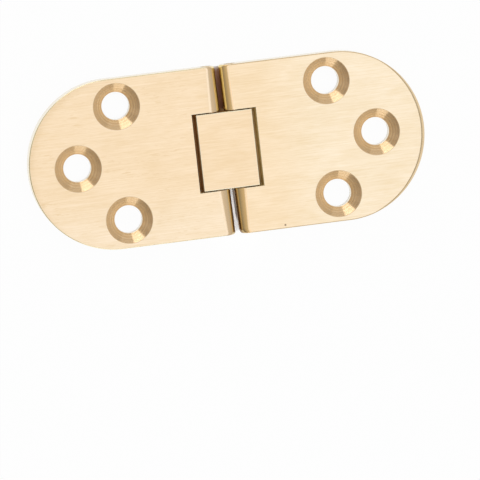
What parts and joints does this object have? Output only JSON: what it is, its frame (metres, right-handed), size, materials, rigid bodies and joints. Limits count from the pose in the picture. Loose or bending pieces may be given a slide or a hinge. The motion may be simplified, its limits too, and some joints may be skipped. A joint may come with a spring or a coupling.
{
  "type": "half-round flap hinge",
  "caption": "Flat flap hinge with half-round ends: thick leaves with countersunk screw holes, joined at a rounded seam by a flush link that turns on hidden pins.",
  "frame": {"origin": "middle of the seam, on the plane of the back face", "axes": "+X along the open hinge from the left leaf to the right, +Y across it along the pins, +Z out of the countersunk side"},
  "size_m": [0.08, 0.034, 0.004],
  "materials": {
    "left_leaf_brass": "pale brass, satin brushed along the leaf",
    "right_leaf_brass": "pale brass, satin brushed along the leaf",
    "link_brass": "pale brass, satin brushed",
    "pin_brass": "drawn brass rod, smooth"
  },
  "bodies": {
    "left_leaf": {"left_leaf": "left_leaf_brass", "left_pin": "pin_brass"},
    "link": {"link": "link_brass"},
    "right_leaf": {"right_leaf": "right_leaf_brass", "right_pin": "pin_brass"}
  },
  "joints": [
    {"name": "left_pivot", "type": "hinge", "parent": "left_leaf", "child": "link", "pos_m": [-0.0024, 0, 0.002], "axis": [0, -1, 0], "range_deg": [0, 90]},
    {"name": "right_pivot", "type": "hinge", "parent": "link", "child": "right_leaf", "pos_m": [0.0024, 0, 0.002], "axis": [0, -1, 0], "range_deg": [0, 90]}
  ]
}
